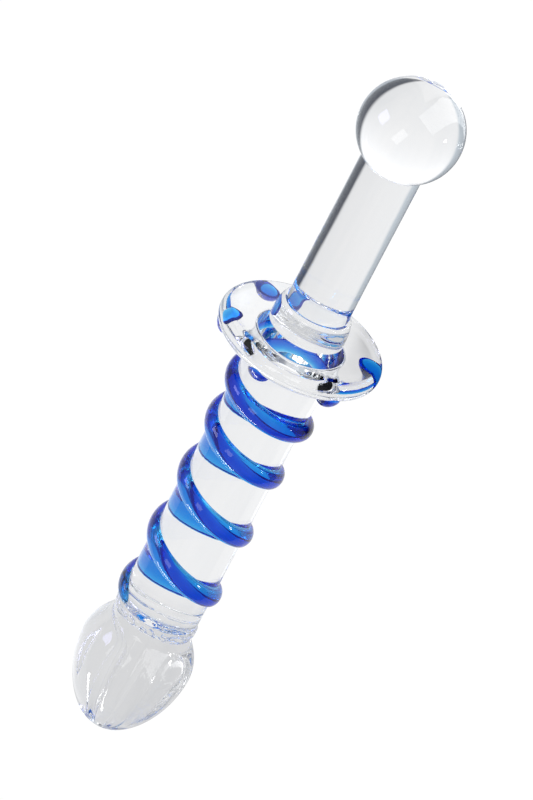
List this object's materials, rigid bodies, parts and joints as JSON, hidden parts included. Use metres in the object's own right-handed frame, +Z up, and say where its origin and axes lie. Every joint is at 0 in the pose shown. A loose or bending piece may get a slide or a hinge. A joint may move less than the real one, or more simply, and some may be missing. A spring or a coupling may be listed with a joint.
{
  "type": "glass massage wand",
  "caption": "Solid clear glass massage wand: ball-ended handle, round guard with blue dots, shaft with a raised blue spiral, fluted bulb head.",
  "frame": {"origin": "on the surface the wand lies on, below the middle of its outline", "axes": "+X along the wand from the head towards the ball end, +Z up; the wand's own axis rises about 4 degrees towards the ball"},
  "size_m": [0.2202, 0.0474, 0.0474],
  "materials": {
    "clear_glass": "clear, flame-polished",
    "cobalt_glass": "transparent cobalt blue, flame-polished"
  },
  "bodies": {
    "root": {"head_bulb": "clear_glass", "neck_ring": "clear_glass", "shaft_rod": "clear_glass", "spiral_trail": "cobalt_glass", "guard_disc": "clear_glass", "guard_bead_1": "cobalt_glass", "guard_bead_2": "cobalt_glass", "guard_bead_3": "cobalt_glass", "guard_bead_4": "cobalt_glass", "guard_bead_5": "cobalt_glass", "guard_bead_6": "cobalt_glass", "handle_collar": "clear_glass", "handle_rod": "clear_glass", "ball_end": "clear_glass"}
  },
  "joints": []
}
